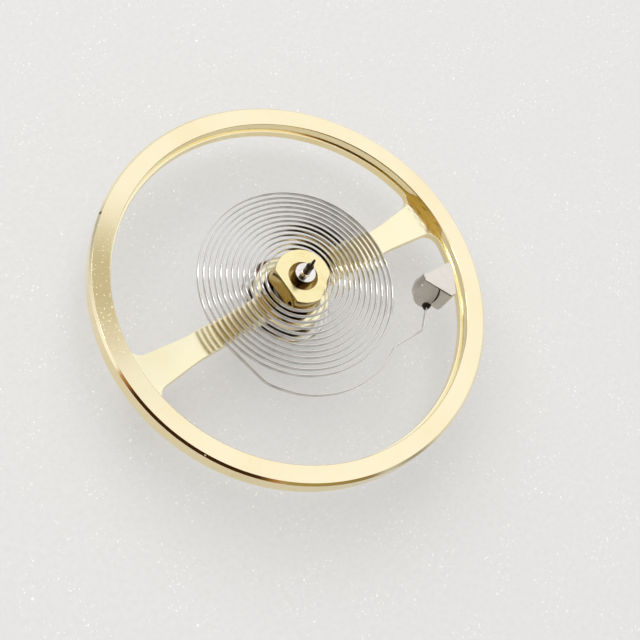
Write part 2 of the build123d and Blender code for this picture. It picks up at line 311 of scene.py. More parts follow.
def endTree(board, shape, finish):
    shape = board.node("GeometryNodeRealizeInstances", {0: shape})
    shape = board.node("GeometryNodeSetMaterial", {"Geometry": shape, "Material": finish})
    board.node("NodeGroupOutput", {0: shape})
    return board.tree


def growTree(tree, piece, values):
    grown = piece.modifiers.new(tree.name, "NODES")
    grown.node_group = tree
    for item in tree.interface.items_tree:
        if item.in_out == "INPUT" and item.name in values:
            grown[item.identifier] = values[item.name]
    applyModifiers(piece)


# Turned pieces: a profile line in X and Z, spun about Z
def buildTurningTree():
    inputs = {"Profile": "Geometry", "Segments": "Int", "Merge distance": "Float", "Finish": "Material"}
    board, (profile, segments, distance, finish) = startTree("turnedPiece", inputs)
    count = board.node("GeometryNodeAttributeDomainSize", {0: profile})
    grid = board.node("GeometryNodeMeshGrid", {"Vertices X": segments + 1, "Vertices Y": count})
    index = board.node("GeometryNodeInputIndex")
    position = board.node("GeometryNodeInputPosition")
    sockets = {"Geometry": profile, "Value": position, "Index": index % count}
    onProfile = board.node("GeometryNodeSampleIndex", sockets, data_type="FLOAT_VECTOR")
    step = board.node("ShaderNodeMath", {0: index / count}, operation="FLOOR")
    sockets = {"Vector": onProfile, "Angle": step * (2 * math.pi) / segments}
    spun = board.node("ShaderNodeVectorRotate", sockets, rotation_type="Z_AXIS")
    shape = board.node("GeometryNodeSetPosition", {"Geometry": grid, "Position": spun})
    shape = board.node("GeometryNodeMergeByDistance", {"Geometry": shape, "Distance": distance})
    return endTree(board, shape, finish)


turningTree = buildTurningTree()


def turn(name, corners, finish, segments=160):
    piece = newLine(name, roundedProfile(corners))
    growTree(turningTree, piece, {"Segments": segments, "Merge distance": mergeDistance, "Finish": finish})
    mend(piece)
    return piece


print("helpers ready")

# Finishes. Colours in pairs are bright and dull. Flanks are painted darker as shade, and faces that look up
# lighter as painted light.
# Lengths are in metres here, a place is radius, angle and height, and a fade runs from nothing to full.
goldLook = {
    # top and flank colours are painted light and shade by facing; the web colour paints the arms and hub
    # lighter as light
    "top": ((0.96, 0.872, 0.62), (0.945, 0.837, 0.56)),
    "web": ((0.97, 0.912, 0.655), (0.955, 0.88, 0.6)),  # arms and hub
    "flank": ((0.915, 0.785, 0.47), (0.88, 0.73, 0.39)),
    # painted shade on a stretch of the rim
    "patchShade": (0.59, 0.49, 0.265),
    # a dark spot on the outer edge, and painted shade on the hub under the collet
    "darkSpotAndHubShade": (0.3, 0.215, 0.095),
    "scratch": (0.43, 0.34, 0.19),
    "roughness": 0.08,
    "flankRoughness": 0.05,
    "webRoughness": 0.03,
    "grainScale": 9000.0,
    "mottleScale": 700.0,
    "unevenScale": 520.0,
    "speckleScale": 30000.0,
    "pitScale": 16000.0,
    "scratchScale": (42000.0, 16.0),
    "webFade": (0.0017, 0.00168),
    "hubShadeFade": (0.00075, 0.0007),
    "footFades": ((0.00412, 0.0043), (0.00446, 0.0044)),
    "rimFade": (0.00446, 0.00449),
    "patchPlace": (0.00475, 150.0, 0.00195),
    "patchReach": (0.0003, 0.0025),
    "nickPlace": (0.00497, 207.8, 0.00192),
    "spotPlace": (0.00498, 128.7, 0.00193),
    "nickReach": 0.000028,
}


def makeGold(look):
    finish = Finish("goldAlloy")
    x, y, z, radius = finish.axes()
    mottle = finish.noise(look["mottleScale"], 5.0, 0.6)
    uneven = finish.noise(look["unevenScale"], 2.0, 0.4)
    speckle = finish.noise(look["speckleScale"], 2.0, 0.6)
    turned = finish.lineNoise(radius, look["grainScale"], 4.0)
    dulling = finish.ramp(mottle, 0.4, 0.72)
    facing = finish.mark("facesUp")
    up = finish.ramp(facing, 0.2, 0.8)
    web = up * finish.ramp(z, *look["webFade"])
    # painted light and shade: faces that look up lighter than the flanks, and the arms and hub painted
    # lighter still
    top, arms, flank = [finish.mix(*look[part], dulling) for part in ("top", "web", "flank")]
    colour = finish.mix(finish.mix(flank, top, up), arms, web)
    # painted shade on the hub under the collet
    colour = finish.mix(colour, look["darkSpotAndHubShade"], up * finish.ramp(radius, *look["hubShadeFade"]))
    # scratches round the foot of one arm, left by the turning tool
    across, along = look["scratchScale"]
    around = finish.node("ShaderNodeCombineXYZ", {0: radius * across, 1: x.angleTo(y) * along})
    scratches = finish.ramp(finish.noise(1.0, 3.0, 0.6, around), 0.5, 0.58)
    inner, outer = look["footFades"]
    foot = finish.ramp(radius, *inner) * finish.ramp(radius, *outer) * finish.ramp(x, 0.0, 0.001)
    colour = finish.mix(colour, look["scratch"], scratches * foot * up)
    # a stretch of the rim painted darker as a mirrored shade, rougher, with fine bright pits
    onRim = finish.ramp(radius, *look["rimFade"]) * finish.ramp(facing, 0.85, 0.95)
    fromPatch = finish.away(look["patchPlace"]) + 0.0012 * (mottle - 0.5)
    shadedPatch = onRim * (1 - finish.ramp(fromPatch, *look["patchReach"]))
    pits = finish.ramp(finish.noise(look["pitScale"], 2.0, 0.5), 0.62, 0.7)
    colour = finish.mix(colour, look["patchShade"], shadedPatch * (1 - pits))
    # one nick and one dark spot on the outer edge
    reach = look["nickReach"]
    nick = finish.ramp(finish.away(look["nickPlace"]), reach, reach * 0.6)
    spot = finish.ramp(finish.away(look["spotPlace"]), reach * 1.9, reach * 1.3)
    colour = finish.mix(colour, look["darkSpotAndHubShade"], spot)
    roughness = look["roughness"] + look["flankRoughness"] * (1 - up) + 0.06 * mottle
    roughness = roughness + 0.07 * finish.ramp(speckle, 0.45, 0.75) + 0.12 * shadedPatch
    roughness = roughness + look["webRoughness"] * web + 0.6 * nick
    fine = finish.bump(turned * 0.4 + speckle + 3.0 * pits * shadedPatch, 0.5, 4e-7)
    return finish.metal(colour, roughness, finish.bump(uneven, 0.5, 6e-6, fine))


staffLook = {
    "bright": (0.86, 0.85, 0.83),
    "dull": (0.76, 0.74, 0.72),
    # flank, post and step colours: painted shade, a painted dark reflection and a painted warm highlight
    "flank": (0.5, 0.49, 0.48),
    "post": (0.04, 0.03, 0.025),
    "step": (0.9, 0.78, 0.64),
    "postHeight": 0.00274,
    "stepHeight": 0.00279,
    "roughness": 0.05,
    "grainScale": 40000.0,
}
rollerLook = {
    "bright": (0.78, 0.77, 0.76),
    "dull": (0.66, 0.65, 0.64),
    "roughness": 0.12,
    "grainScale": 24000.0,
}


def paintPostLight(finish, look, bright, z, rings):  # all that stands above the post is dark, but for one warm step
    # painted light and shade: flanks painted darker and faces that look up bright; all above the post is
    # painted dark as a mirrored shade, but for one step painted as a warm highlight
    post, step = look["postHeight"], look["stepHeight"]
    onPost = finish.ramp(z, post - 0.00002, post + 0.00002)
    aboveStep = finish.ramp(z, post + 0.00001, post + 0.00003)
    onStep = finish.ramp(z, post + 0.000004, post + 0.00001) * finish.ramp(z, step + 0.000006, step)
    flank = finish.mix(look["flank"], look["post"], onPost * (0.88 + 0.12 * rings))
    up = finish.ramp(finish.mark("facesUp"), 0.85, 0.97) * (1 - aboveStep)
    return finish.mix(finish.mix(flank, bright, up), look["step"], onStep)


def makeTurnedSteel(name, look, tint=None):
    finish = Finish(name)
    x, y, z, radius = finish.axes()
    rings = finish.lineNoise(radius + z, look["grainScale"], 4.0)
    smear = finish.noise(2500.0, 4.0, 0.6)
    colour = finish.mix(look["bright"], look["dull"], finish.ramp(smear, 0.4, 0.7))
    if tint:
        colour = tint(finish, look, colour, z, rings)
    return finish.metal(colour, look["roughness"] + 0.08 * rings * smear, finish.bump(rings, 0.35, 2.5e-7))


studLook = {
    # top and flank colours are painted light and shade by facing
    "top": ((0.78, 0.735, 0.685), (0.725, 0.68, 0.625)),
    "flank": ((0.56, 0.53, 0.48), (0.5, 0.465, 0.415)),
    # painted shade for the groove floor and a line under the top edge
    "shadeLine": (0.035, 0.028, 0.018),
    "glint": (0.98, 0.97, 0.96),
    "glintPlace": (0.0029786, -34.84, 0.0027239),
    "glintFade": (0.00004, 0.000022),
    "grainTurn": (0.0, 0.0, 0.57),
    "grainScale": (3000.0, 60000.0, 3000.0),
    "roughness": 0.1,
    "flankRoughness": 0.16,
}


def makeStudSteel(look):
    finish = Finish("studSteel")
    smear = finish.noise(1800.0, 4.0, 0.6)
    sockets = {"Vector": finish.place, "Rotation": look["grainTurn"], "Scale": look["grainScale"]}
    grain = finish.noise(1.0, 3.0, 0.6, finish.node("ShaderNodeMapping", sockets))
    up = finish.ramp(finish.mark("facesUp"), 0.2, 0.7)
    dulling = finish.ramp(smear, 0.35, 0.7)
    top, flank = [finish.mix(*look[part], dulling) for part in ("top", "flank")]
    # painted light and shade: faces that look up and the bevel on the pad's left are painted light, the
    # flanks darker
    colour = finish.mix(flank, top, up + 0.95 * finish.mark("bevel"))
    # painted shade in the groove and in a line under the top edge
    colour = finish.mix(colour, look["shadeLine"], finish.mark("shadeLine"))
    # a painted glint on the pad
    paintedGlint = finish.ramp(finish.away(look["glintPlace"]), *look["glintFade"])
    colour = finish.mix(colour, look["glint"], paintedGlint)
    roughness = look["roughness"] + look["flankRoughness"] * (1 - up) + 0.07 * smear + 0.05 * grain
    return finish.metal(colour, roughness, finish.bump(grain, 0.2, 2e-7))


springLook = {
    # edge and wall colours are painted light on the top edges and painted shade on the walls
    "edge": (0.78, 0.775, 0.77),
    "wall": ((0.64, 0.625, 0.61), (0.5, 0.485, 0.47)),
    "roughness": 0.08,
}


def makeSpringSteel(look):
    finish = Finish("springSteel")
    drawn = finish.lineNoise(finish.mark("alongWire"), 400.0, 3.0)
    streak = finish.noise(12000.0, 3.0, 0.5)
    wall = finish.mix(*look["wall"], finish.ramp(drawn, 0.35, 0.7))
    # painted light and shade: faces that look up painted light, the walls darker
    colour = finish.mix(wall, look["edge"], finish.ramp(finish.mark("facesUp"), 0.45, 0.85))
    return finish.metal(colour, look["roughness"] + 0.08 * streak, finish.bump(streak, 0.15, 2e-7))


brassLook = {
    # top and flank colours are painted light and shade by facing; the underside and recess colours are
    # painted shade
    "top": ((0.955, 0.85, 0.5), (0.9, 0.76, 0.38)),
    "flank": ((0.64, 0.48, 0.19), (0.5, 0.35, 0.12)),
    "under": (0.12, 0.085, 0.04),
    "recess": (0.42, 0.29, 0.1),
    "recessFade": (0.00037, 0.00036),
    "depthFade": (0.00254, 0.00246),
    "roughness": 0.12,
}


def makeBrass(look):
    finish = Finish("colletBrass")
    x, y, z, radius = finish.axes()
    rings = finish.lineNoise(radius, 22000.0, 3.0)
    smear = finish.noise(3000.0, 4.0, 0.6)
    dulling = finish.ramp(smear, 0.42, 0.78)
    top, flank = [finish.mix(*look[part], dulling) for part in ("top", "flank")]
    facing = finish.mark("facesUp")
    # painted light and shade: faces that look up lighter, flanks darker, undersides painted dark and the
    # recess painted in shade
    colour = finish.mix(flank, top, finish.ramp(facing, 0.2, 0.8))
    colour = finish.mix(colour, look["under"], finish.ramp(facing, -0.4, -0.8))
    inRecess = finish.ramp(radius, *look["recessFade"]) * finish.ramp(z, *look["depthFade"])
    colour = finish.mix(colour, look["recess"], inRecess)
    return finish.metal(colour, look["roughness"] + 0.12 * smear, finish.bump(rings + smear, 0.3, 4e-7))


cementLooks = {  # dark, light, scale, roughness and coat
    "darkCement": ((0.01, 0.006, 0.002), (0.034, 0.02, 0.008), 9000.0, 0.45, 0.03),
    "shellac": ((0.16, 0.05, 0.015), (0.32, 0.12, 0.04), 6000.0, 0.15, 0.6),
}


def makeCement(name):
    dark, light, scale, roughness, coat = cementLooks[name]
    finish = Finish(name)
    cloud = finish.noise(scale, 4.0, 0.6)
    return finish.surface({
        "Base Color": finish.mix(dark, light, finish.ramp(cloud, 0.45, 0.75)),
        "Roughness": roughness + 0.2 * cloud,
        "Specular IOR Level": 0.25,
        "Coat Weight": coat,
        "Coat Roughness": 0.08,
        "Normal": finish.bump(cloud, 0.4, 2e-6),
    })


rubyLook = {"bright": (0.62, 0.02, 0.1), "dull": (0.42, 0.01, 0.06), "roughness": 0.04, "clear": 0.35}


def makeRuby(look):
    finish = Finish("ruby")
    cloud = finish.noise(5000.0, 3.0, 0.5)
    return finish.surface({
        "Base Color": finish.mix(look["bright"], look["dull"], cloud),
        "Roughness": look["roughness"] + 0.04 * cloud,
        "Transmission Weight": look["clear"],
        "IOR": 1.76,
    })


gold = makeGold(goldLook)
brass = makeBrass(brassLook)
staffSteel = makeTurnedSteel("staffSteel", staffLook, paintPostLight)
rollerSteel = makeTurnedSteel("rollerSteel", rollerLook)
springSteel = makeSpringSteel(springLook)
studSteel = makeStudSteel(studLook)
darkCement = makeCement("darkCement")
shellac = makeCement("shellac")
ruby = makeRuby(rubyLook)
print("finishes ready")

# Balance wheel: rim, ledge, arms and hub in one closed mesh
wheel = {
    "radius": 5.0,
    "rimInnerRadius": 4.5,
    "windowRadius": 4.445,
    "bottom": 1.43,
    "webTop": 1.66,
    "rimTop": 1.95,
    "rimRounding": 0.035,
    "rimInnerRounding": 0.034,
    "rimChamfer": 0.062,
    "chamferRounding": 0.008,
    "armHalfWidth": 0.325,
    "armFlare": 6.15,
    "armBend": 3.0,
    "rimCorner": 0.32,
    "hubRadius": 0.95,
    "hubCorner": 0.25,
    "bore": 0.4,
    "edgeBreak": 0.02,
    "segments": 360,
    "boreSegments": 96,
}


def windowOutline(offset):  # one window, anticlockwise, moved into the metal by the offset
    halfWidth, flare = wheel["armHalfWidth"], wheel["armFlare"]
    hubCorner, bend, rimCorner = wheel["hubCorner"], wheel["armBend"], wheel["rimCorner"]
    hubSpan = wheel["hubRadius"] + hubCorner
    hubAngle = math.degrees(math.asin((halfWidth + hubCorner) / hubSpan))
    bendStart = halfWidth / math.tan(math.radians(flare)) - bend * math.tan(math.radians(flare / 2))
    rimSpan = wheel["windowRadius"] - rimCorner
    rimAngle = flare + math.degrees(math.asin(rimCorner / rimSpan))
    half = arcPoints(origin, wheel["hubRadius"] - offset, 90, hubAngle, 30)
    half += arcPoints(onCircle(hubSpan, hubAngle), hubCorner + offset, hubAngle + 180, 270, 14)
    bendCentre = np.array([bendStart, halfWidth + bend, 0.0])
    half += arcPoints(bendCentre, bend + offset, 270, 270 + flare, 8)
    half += arcPoints(onCircle(rimSpan, rimAngle), rimCorner + offset, 270 + flare, 360 + rimAngle, 24)
    half += arcPoints(origin, wheel["windowRadius"] + offset, rimAngle, 90, 90)
    mirrored = [np.array([-point[0], point[1], 0.0]) for point in reversed(half)]
    return withoutDoubles(half + mirrored[1:-1])


def addLoop(shape, points):
    verts = [shape.verts.new(tuple(point)) for point in points]
    edges = [shape.edges.new((verts[index - 1], verts[index])) for index in range(len(verts))]
    return verts, edges


def addWalls(shape, outlines):  # skins the outlines in order and gives the edges of the first and the last
    loops = [addLoop(shape, outline) for outline in outlines]
    for (low, lowEdges), (high, highEdges) in zip(loops, loops[1:]):
        for index in range(len(low)):
            shape.faces.new((low[index - 1], low[index], high[index], high[index - 1]))
    return loops[0][1], loops[-1][1]


def buildWheel():
    radius, innerRadius, rounding = wheel["radius"], wheel["rimInnerRadius"], wheel["rimRounding"]
    bottom, webTop, rimTop, edge = wheel["bottom"], wheel["webTop"], wheel["rimTop"], wheel["edgeBreak"]
    profile = roundedProfile([
        (innerRadius, webTop, 0),
        (innerRadius, rimTop, wheel["rimInnerRounding"]),
        (radius - wheel["rimChamfer"], rimTop, wheel["chamferRounding"]),
        (radius, rimTop - wheel["rimChamfer"], wheel["chamferRounding"]),
        (radius, bottom, rounding),
        (radius - 2 * rounding, bottom, 0),
    ], steps=5)
    levels = brokenEdge(webTop, edge)[::-1] + brokenEdge(bottom, -edge)
    window = [lift(windowOutline(offset), height) for offset, height in levels]
    opposite = [[point * np.array([-1, -1, 1]) for point in outline] for outline in window]
    bore = [circle(wheel["bore"], height, wheel["boreSegments"]) for height in (webTop, bottom)]
    shape = bmesh.new()
    topEdges, bottomEdges = [], []
    for outlines in ([circle(x, z, wheel["segments"]) for x, y, z in profile], window, opposite, bore):
        first, last = addWalls(shape, outlines)
        topEdges += first
        bottomEdges += last
    for edges, side in ((topEdges, 1), (bottomEdges, -1)):
        bmesh.ops.triangle_fill(shape, use_beauty=True, edges=edges, normal=(0, 0, side))
    piece = newPiece("balanceWheel", [], [])
    shape.to_mesh(piece.data)
    shape.free()
    mend(piece)
    return piece


dress(buildWheel(), gold, "balance", ["balance_wheel"])
print("wheel done")

# Staff, turned from pivot to pivot: radius, height and rounding of each corner
staffCorners = [
    (0.0, 0.0, 0),
    (0.05, 0.0, 0.02),
    (0.05, 0.22, 0),
    (0.15, 0.42, 0.02),
    (0.15, 0.57, 0),
    (0.23, 0.57, 0.01),
    (0.23, 1.2, 0),
    (0.54, 1.2, 0.02),
    (0.54, 1.43, 0.02),
    (0.4, 1.43, 0),
    (0.4, 1.66, 0),
    (0.48, 1.66, 0.008),
    (0.42, 1.72, 0.02),
    (0.33, 1.72, 0),
    (0.33, 1.99, 0.006),
    (0.256, 1.99, 0),
    (0.256, 2.74, 0.014),
    (0.115, 2.74, 0.006),
    (0.115, 2.78, 0.006),
    (0.095, 2.79, 0),
    (0.095, 3.08, 0.012),
    (0.048, 3.195, 0.02),
    (0.028, 3.415, 0.02),
    (0.0, 3.415, 0),
]
staff = turn("balanceStaff", staffCorners, staffSteel)
dress(staff, staffSteel, "balance", ["balance_staff"])
print("staff done")

# Double roller under the wheel, with the jewel and its shellac
table = {"radius": 1.15, "bottom": 0.98, "top": 1.2, "seat": 0.23, "edgeBreak": 0.03, "rounding": 0.005}
safety = {
    "radius": 0.58,
    "bottom": 0.6,
    "top": 0.78,
    "rounding": 0.012,
    "neckRadius": 0.36,
    "neckRounding": 0.01,
    "crescentRadius": 0.17,
}
jewel = {"distance": 0.84, "radius": 0.21, "flat": 0.09, "bottom": 0.68, "edgeBreak": 0.02}
drop = {"radius": 0.27, "top": 1.27, "lean": 0.01, "shoulder": 0.015, "footRounding": 0.006, "rounding": 0.03}


def jewelOutline(offset):
    radius = jewel["radius"] - offset
    half = math.degrees(math.acos((jewel["radius"] - jewel["flat"] - offset) / radius))
    return arcPoints(np.array([0.0, jewel["distance"], 0.0]), radius, 90 + half, 450 - half, 48)


def buildRollerTable():
    radius, bottom, top, seat = table["radius"], table["bottom"], table["top"], table["seat"]
    edge, rounding = table["edgeBreak"], table["rounding"]
    piece = turn("rollerTable", [
        (seat, bottom, 0),
        (radius - edge, bottom, rounding),
        (radius, bottom + edge, rounding),
        (radius, top - edge, rounding),
        (radius - edge, top, rounding),
        (seat, top, 0),
        (seat, bottom, 0),
    ], rollerSteel)
    outline = jewelOutline(0.0)
    hole = loft("jewelHole", [lift(outline, bottom - overrun), lift(outline, top + overrun)])
    combine(piece, hole, "DIFFERENCE")
    dress(piece, rollerSteel, "balance", ["roller_table"])


def buildSafetyRoller():
    radius, bottom, top, rounding = safety["radius"], safety["bottom"], safety["top"], safety["rounding"]
    seat, neck = table["seat"], safety["neckRadius"]
    piece = turn("safetyRoller", [
        (seat, bottom, 0),
        (radius, bottom, rounding),
        (radius, top, rounding),
        (neck, top, safety["neckRounding"]),
        (neck, table["bottom"], 0),
        (seat, table["bottom"], 0),
        (seat, bottom, 0),
    ], rollerSteel)
    centre = np.array([0.0, radius, 0.0])
    crescent = rod("crescent", safety["crescentRadius"], bottom - overrun, top, 64, centre)
    combine(piece, crescent, "DIFFERENCE")
    dress(piece, rollerSteel, "balance", ["safety_roller"])


def buildJewel():
    levels = brokenEdge(jewel["bottom"], -jewel["edgeBreak"])[::-1] + [(0.0, table["top"])]
    piece = loft("impulseJewel", [lift(jewelOutline(offset), height) for offset, height in levels])
    mend(piece)
    dress(piece, ruby, "balance", ["impulse_jewel"])


def buildShellac():
    radius, top = drop["radius"], drop["top"]
    piece = turn("jewelShellac", [
        (0.0, table["top"], 0),
        (radius, table["top"], drop["footRounding"]),
        (radius - drop["lean"], top - drop["shoulder"], drop["rounding"]),
        (0.0, top, 0),
    ], shellac, 64)
    piece.data.transform(Matrix.Translation((0.0, jewel["distance"], 0.0)))
    dress(piece, shellac, "balance", ["jewel_cement"], 60.0)


buildRollerTable()
buildSafetyRoller()
buildJewel()
buildShellac()
print("rollers done")

# Hairspring route: bends as centre, signed radius, first and last normal angles, with straight runs between
spring = {
    "thickness": 0.035,
    "height": 0.13,
    "edgeRadius": 0.0165,
    "level": 2.175,
    "turns": 13,
    "openAngle": 230,
    "openStart": 0.59,
    "openPitch": 0.151,
    "tightStart": 0.777,
    "tightPitch": 0.126,
    "innerStart": 300,
    "elbowAngle": 45,
    "elbowRadius": 0.2,
    "tailLength": 0.55,
    "curveCentre": (0.42, 254),
    "curveRadius": 2.48,
    "curveStart": 213,
    "curveEnd": 298.5,
    "joinRadius": 0.6,
    "stepRadius": 0.25,
    "hookRadius": 0.2,
    "runLength": 1.04,
    "runHeading": 42.6,
    "runOffset": 0.065,
    "degreesPerPoint": 3.0,
    "heldLength": 0.6,  # from the bead to the end in the stud
}
stud = {
    "distance": 3.457,
    "angle": 327.3,
    "side": 0.3,
    "corner": 0.475,
    "rounding": 0.035,
    "bottom": 2.05,
    "top": 2.95,
    "edgeBreak": 0.02,
    "holeRadius": 0.085,
    "holeDepth": 0.12,
    "holeReach": 1.2,
    # outline of the pad on its sloping face: across from the stud's middle, height
    "padOutline": (
        (-0.02, 2.93), (-0.062, 2.8), (-0.096, 2.66), (-0.108, 2.5), (-0.103, 2.38), (-0.085, 2.26),
        (-0.05, 2.15), (0.0, 2.085), (0.06, 2.055), (0.14, 2.055), (0.22, 2.085), (0.29, 2.145),
        (0.345, 2.225), (0.38, 2.32), (0.392, 2.42), (0.365, 2.93),
    ),
    "padFoot": 0.475,
    "padSlope": 0.205,
    "padBevel": 0.115,
    "padBack": 0.1,
    "bevelDepthShare": 0.9,
    "jointWidth": 0.034,
    "jointWidening": 1.3,
    "jointDepth": 0.04,
    "jointEnd": 0.05,
    "jointTurn": 2.2,
    "lineHeight": 0.04,
}
studCentre = onCircle(stud["distance"], stud["angle"])
springEnd = studCentre + onCircle(spring["runOffset"], spring["runHeading"] + 90)


def nextAngle(angle, start):
    return start + (angle - start) % 360


def tangentAngle(firstCentre, firstRadius, secondCentre, secondRadius):
    across = secondCentre - firstCentre
    spread = math.acos((firstRadius - secondRadius) / np.linalg.norm(across))
    return math.degrees(math.atan2(across[1], across[0]) - spread)


def springBends():
    openAngle, pitch, innerStart = spring["openAngle"], spring["openPitch"], spring["innerStart"]
    bends = []
    for index in range(spring["turns"]):
        innerOpen = spring["openStart"] + pitch * index
        tight = spring["tightStart"] + spring["tightPitch"] * (index + 1)
        angle = openAngle + 360 * index
        for openSide, first in ((innerOpen, angle), (innerOpen + pitch, angle + 180)):
            centre = onCircle((openSide - tight) / 2, openAngle)
            bends.append([centre, (openSide + tight) / 2, first, first + 180])
    elbow = spring["elbowRadius"]
    elbowCentre = bends[0][0] + onCircle(bends[0][1] - elbow, innerStart)
    bends[0][2] = innerStart
    bends.insert(0, [elbowCentre, elbow, innerStart - spring["elbowAngle"], innerStart])
    # the outer curve, with a join, a step outwards and a hook before the straight run
    heading, radius = spring["runHeading"], spring["curveRadius"]
    join, step, hook = spring["joinRadius"], spring["stepRadius"], spring["hookRadius"]
    curveCentre = onCircle(*spring["curveCentre"])
    joinCentre = curveCentre + onCircle(radius - join, spring["curveStart"])
    stepCentre = curveCentre + onCircle(radius + step, spring["curveEnd"])
    hookCentre = springEnd - onCircle(spring["runLength"], heading) - onCircle(hook, heading - 90)
    lastCentre, lastRadius, lastStart = bends[-1][:3]
    leave = nextAngle(tangentAngle(lastCentre, lastRadius, joinCentre, join), lastStart)
    curveStart = nextAngle(spring["curveStart"], leave)
    curveEnd = nextAngle(spring["curveEnd"], curveStart)
    stepEnd = nextAngle(tangentAngle(stepCentre, -step, hookCentre, hook), curveEnd - 180)
    bends[-1][3] = leave
    return bends + [
        [joinCentre, join, leave, curveStart],
        [curveCentre, radius, curveStart, curveEnd],
        [stepCentre, -step, curveEnd, stepEnd],
        [hookCentre, hook, stepEnd, nextAngle(heading - 90, stepEnd)],
    ]


bends = springBends()
tailEnd = bends[0][0] + onCircle(bends[0][1], bends[0][2])
tailHeading = bends[0][2] + 90
tailStart = tailEnd - onCircle(spring["tailLength"], tailHeading)


def springPoints():
    points = [tailStart]
    for centre, radius, first, last in bends:
        steps = max(2, round(abs(last - first) / spring["degreesPerPoint"]))
        points += arcPoints(centre, radius, first, last, steps)
    return lift(withoutDoubles(points + [springEnd]), spring["level"])


def buildSweepTree():
    sizes = {"Thickness": "Float", "Height": "Float", "Edge radius": "Float"}
    inputs = {"Route": "Geometry", **sizes, "Finish": "Material"}
    board, (route, width, height, edgeRadius, finish) = startTree("springStrip", inputs)
    line = board.node("GeometryNodeMeshToCurve", {0: route})
    line = board.node("GeometryNodeSetCurveNormal", {0: line}, mode="Z_UP")
    section = board.node("GeometryNodeCurvePrimitiveQuadrilateral", {"Width": width, "Height": height})
    sockets = {"Curve": section, "Radius": edgeRadius, "Count": 3}
    section = board.node("GeometryNodeFilletCurve", sockets, mode="POLY")
    sockets = {"Curve": line, "Profile Curve": section, "Fill Caps": True}
    return endTree(board, board.node("GeometryNodeCurveToMesh", sockets), finish)


def buildSpring():
    points = springPoints()
    piece = newLine("hairspringStrip", points)
    steps = np.linalg.norm(np.diff(np.array(points), axis=0), axis=1)
    along = np.concatenate([[0.0], np.cumsum(steps)])
    share = piece.data.attributes.new("alongWire", "FLOAT", "POINT")
    share.data.foreach_set("value", (along / along[-1]).astype(np.float32))
    growTree(buildSweepTree(), piece, {
        "Thickness": spring["thickness"],
        "Height": spring["height"],
        "Edge radius": spring["edgeRadius"],
        "Finish": springSteel,
    })
    print("spring wire length", round(float(along[-1]), 3), "mm")
    dress(piece, springSteel, None, ["hairspring"], 50.0)
    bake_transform(piece)
    values = np.zeros(len(piece.data.vertices), np.float32)
    piece.data.attributes["alongWire"].data.foreach_get("value", values)


buildSpring()
print("hairspring done")

# Collet with two flats, a recess round the staff and the cross hole for the spring
collet = {
    "radius": 0.7,
    "bottom": 1.99,
    "top": 2.55,
    "edgeBreak": 0.02,
    "footBreak": 0.006,
    "bore": 0.256,
    "recessRadius": 0.36,
    "recessDepth": 0.24,
    "flats": ((306, 0.59), (180, 0.53)),  # angle and distance from the staff's axis
    "steps": 180,
    "holeRadius": 0.085,
    "holeReach": 2.0,  # through both walls
}


def colletAngles():  # even steps, and the ends of both flats
    angles = [360 * step / collet["steps"] for step in range(collet["steps"])]
    for angle, reach in collet["flats"]:
        half = math.degrees(math.acos(reach / collet["radius"]))
        angles += [(angle - half) % 360, (angle + half) % 360]
    return sorted(angles)


def colletOutline(offset):
    points = []
    for angle in colletAngles():
        radius = collet["radius"] - offset
        for flat, reach in collet["flats"]:
            level = math.cos(math.radians(angle - flat))
            if level * radius > reach - offset:
                radius = (reach - offset) / level
        points.append(onCircle(radius, angle))
    return points


def lay(piece, heading, place):  # turns Z to a heading and moves the piece to a place at the spring's level
    piece.data.transform(Vector(onCircle(1.0, heading)).to_track_quat("Z", "Y").to_matrix().to_4x4())
    piece.data.transform(Matrix.Translation((place[0], place[1], spring["level"])))


def buildCollet():
    top, bottom, foot = collet["top"], collet["bottom"], collet["footBreak"]
    floor = top - collet["recessDepth"]
    edge = brokenEdge(top, collet["edgeBreak"])
    outside = [(foot, bottom), (0.0, bottom + foot)] + edge
    inside = [(collet["recessRadius"] + offset, height) for offset, height in edge[::-1]]
    inside += [(collet["recessRadius"], floor), (collet["bore"], floor), (collet["bore"], bottom)]
    rings = [lift(colletOutline(offset), height) for offset, height in outside]
    rings += [[onCircle(radius, angle, height) for angle in colletAngles()] for radius, height in inside]
    piece = loft("springCollet", rings, joinEnds=True)
    mend(piece)
    hole = rod("springHole", collet["holeRadius"], -collet["holeReach"], collet["holeReach"], 40)
    lay(hole, tailHeading, tailEnd)
    combine(piece, hole, "DIFFERENCE")
    dress(piece, brass, "balance", ["collet"])


buildCollet()

# Half-round pin beside the spring's tail in the collet's hole, with slimmer tips
pin = {"gap": 0.01, "inset": 0.05, "tip": 0.02, "tipSize": 0.8, "steps": 24}


def buildColletPin():
    radius, reach = collet["holeRadius"], spring["thickness"] / 2 + pin["gap"]
    half = math.degrees(math.acos(reach / radius))
    flat = arcPoints(origin, radius, 180 - half, 180 + half, pin["steps"])
    side, ahead = onCircle(1.0, tailHeading - 90), onCircle(1.0, tailHeading)
    centre = tailEnd + upwards * spring["level"]
    middle = -(reach + radius) / 2
    low, high = [Vector(corner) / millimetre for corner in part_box("collet_pin")]
    corners = [np.array([x, y, 0.0]) for x in (low.x, high.x) for y in (low.y, high.y)]
    spans = [float((corner - tailEnd) @ ahead) for corner in corners]
    first, last, tip, small = min(spans) + pin["inset"], max(spans) - pin["inset"], pin["tip"], pin["tipSize"]
    piece = loft("colletPin", [
        [
            centre + ahead * along + side * (middle + (point[0] - middle) * size) + upwards * point[1] * size
            for point in flat
        ]
        for along, size in ((first, small), (first + tip, 1.0), (last - tip, 1.0), (last, small))
    ])
    mend(piece)
    dress(piece, brass, "balance", ["collet_pin"])


buildColletPin()
print("collet done")

